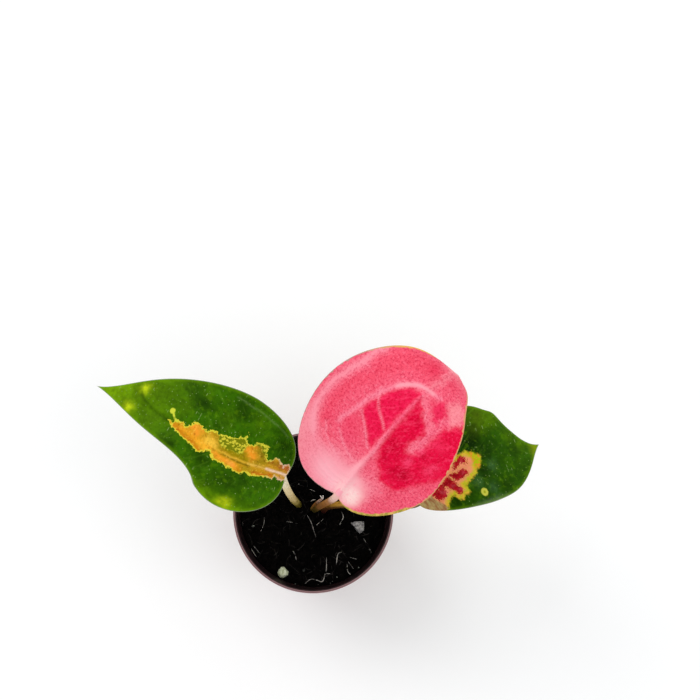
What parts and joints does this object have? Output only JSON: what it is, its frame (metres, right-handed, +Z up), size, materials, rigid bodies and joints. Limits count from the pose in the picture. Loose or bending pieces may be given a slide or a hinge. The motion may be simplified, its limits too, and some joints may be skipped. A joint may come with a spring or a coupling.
{
  "type": "potted chinese evergreen",
  "caption": "Young chinese evergreen with broad pink and green leaves on slender stalks, in a small round plastic pot filled with peat.",
  "frame": {"origin": "centre of the pot's flat base, on the surface it stands on", "axes": "+Z up along the pot's axis; +X to the right and +Y to the back of the plant as the picture shows it from above"},
  "size_m": [0.159, 0.0785, 0.1346],
  "materials": {
    "pot_plastic": "satin reddish brown moulded plastic",
    "peat": "loose dark peat with fine fibres",
    "stem": "pale fibrous stem base",
    "stalk_left": "smooth cream stalk, olive at its foot",
    "stalk_middle": "smooth pink and ochre stalk, olive at its foot",
    "stalk_right": "smooth ochre stalk",
    "leaf_green_flame": "glossy green leaf with an orange and yellow flame, pink below",
    "leaf_pink": "matte pink underside with crimson patches and pale veins, green above",
    "leaf_green_crimson": "glossy dark green leaf with a crimson centre, pink below",
    "perlite_green": "matte porous grain, pale green white",
    "perlite_grey": "matte porous grain, grey white"
  },
  "bodies": {
    "root": {"pot": "pot_plastic", "soil": "peat", "crown": "stem", "petiole_left": "stalk_left", "petiole_middle": "stalk_middle", "petiole_right": "stalk_right", "leaf_left": "leaf_green_flame", "leaf_middle": "leaf_pink", "leaf_right": "leaf_green_crimson", "perlite_round": "perlite_green", "perlite_angular": "perlite_grey"}
  },
  "joints": []
}
